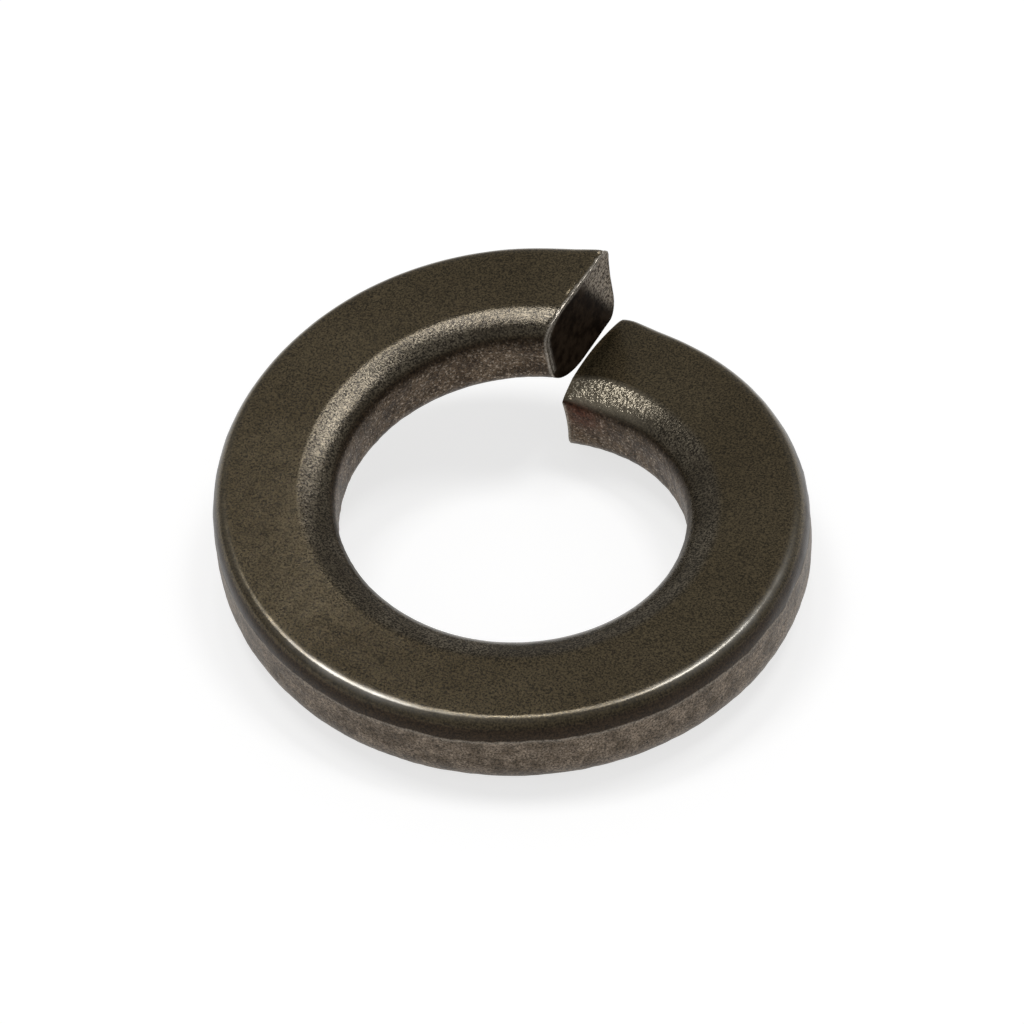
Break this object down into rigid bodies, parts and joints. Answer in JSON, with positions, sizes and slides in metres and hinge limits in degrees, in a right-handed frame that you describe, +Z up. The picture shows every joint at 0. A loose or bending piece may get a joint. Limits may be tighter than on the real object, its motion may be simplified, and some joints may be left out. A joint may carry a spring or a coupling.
{
  "type": "spring lock washer",
  "caption": "Split ring of flat steel wire, coiled on edge as one left-hand turn, that goes under a half-inch bolt head or nut and stops it working loose.",
  "frame": {"origin": "the point where the bore axis meets the flat surface that the washer rests on, which is within 0.3 mm of the middle of its footprint", "axes": "+Z up from that surface, +Y from the bore toward the split, +X to the right as seen from the side opposite the split; the bore axis leans 6.7 degrees from +Z, because the washer lies on its low end and on the edge opposite"},
  "size_m": [0.0221, 0.0222, 0.0075],
  "materials": {
    "dark_spring_steel": "plain hardened steel with a dark olive-brown tempering film under oil, satin, brighter on its rounded corners"
  },
  "bodies": {
    "root": {"washer": "dark_spring_steel"}
  },
  "joints": []
}
